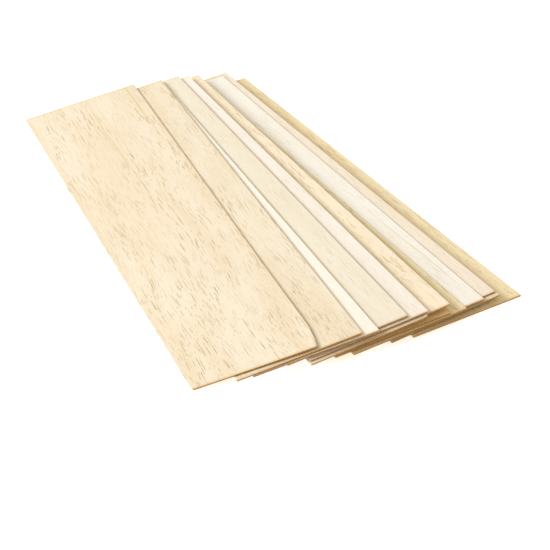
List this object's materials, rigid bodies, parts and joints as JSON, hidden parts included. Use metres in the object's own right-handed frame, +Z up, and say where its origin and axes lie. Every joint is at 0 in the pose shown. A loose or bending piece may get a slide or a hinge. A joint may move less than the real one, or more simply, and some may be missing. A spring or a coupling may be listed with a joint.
{
  "type": "balsa wood sheet pack",
  "caption": "Thin square-cut balsa wood sheets for model making, stacked and spread into a loose fan on a table.",
  "frame": {"origin": "on the table, under the middle of the pack's bounding box", "axes": "+Z up from the table, +Y along the sheets away from their spread ends, +X across the sheets to the right"},
  "size_m": [0.2044, 0.3144, 0.0181],
  "materials": {
    "balsa_cream": "matt",
    "balsa_pale": "matt",
    "balsa_rosy": "matt",
    "balsa_tan": "matt"
  },
  "bodies": {
    "base_sheet": {"sheet_01": "balsa_tan"},
    "loose_02": {"sheet_02": "balsa_cream"},
    "loose_03": {"sheet_03": "balsa_rosy"},
    "loose_04": {"sheet_04": "balsa_pale"},
    "loose_05": {"sheet_05": "balsa_cream"},
    "loose_06": {"sheet_06": "balsa_tan"},
    "loose_07": {"sheet_07": "balsa_tan"},
    "loose_08": {"sheet_08": "balsa_rosy"},
    "loose_09": {"sheet_09": "balsa_pale"},
    "loose_10": {"sheet_10": "balsa_pale"},
    "loose_11": {"sheet_11": "balsa_pale"},
    "loose_12": {"sheet_12": "balsa_cream"},
    "loose_13": {"sheet_13": "balsa_cream"}
  },
  "joints": [
    {"name": "draw_02", "type": "slide", "parent": "base_sheet", "child": "loose_02", "axis": [-0.068, 0.9977, -0.0003], "range_m": [0, 0.12]},
    {"name": "draw_03", "type": "slide", "parent": "base_sheet", "child": "loose_03", "axis": [-0.0523, 0.9986, 0.0005], "range_m": [0, 0.12]},
    {"name": "draw_04", "type": "slide", "parent": "base_sheet", "child": "loose_04", "axis": [-0.0349, 0.9994, 0.0013], "range_m": [0, 0.12]},
    {"name": "draw_05", "type": "slide", "parent": "base_sheet", "child": "loose_05", "axis": [-0.0366, 0.9993, 0.0013], "range_m": [0, 0.12]},
    {"name": "draw_06", "type": "slide", "parent": "base_sheet", "child": "loose_06", "axis": [-0.0105, 0.9999, 0.0025], "range_m": [0, 0.12]},
    {"name": "draw_07", "type": "slide", "parent": "base_sheet", "child": "loose_07", "axis": [-0.0157, 0.9999, 0.0022], "range_m": [0, 0.12]},
    {"name": "draw_08", "type": "slide", "parent": "base_sheet", "child": "loose_08", "axis": [0.0052, 1, 0.0042], "range_m": [0, 0.12]},
    {"name": "draw_09", "type": "slide", "parent": "base_sheet", "child": "loose_09", "axis": [0.0087, 1, 0.0045], "range_m": [0, 0.12]},
    {"name": "draw_10", "type": "slide", "parent": "base_sheet", "child": "loose_10", "axis": [0.0279, 0.9996, 0.0067], "range_m": [0, 0.12]},
    {"name": "draw_11", "type": "slide", "parent": "base_sheet", "child": "loose_11", "axis": [0.0541, 0.9985, 0.0099], "range_m": [0, 0.12]},
    {"name": "draw_12", "type": "slide", "parent": "base_sheet", "child": "loose_12", "axis": [0.0819, 0.9965, 0.0136], "range_m": [0, 0.12]},
    {"name": "draw_13", "type": "slide", "parent": "base_sheet", "child": "loose_13", "axis": [0.1028, 0.9946, 0.0165], "range_m": [0, 0.12]}
  ]
}
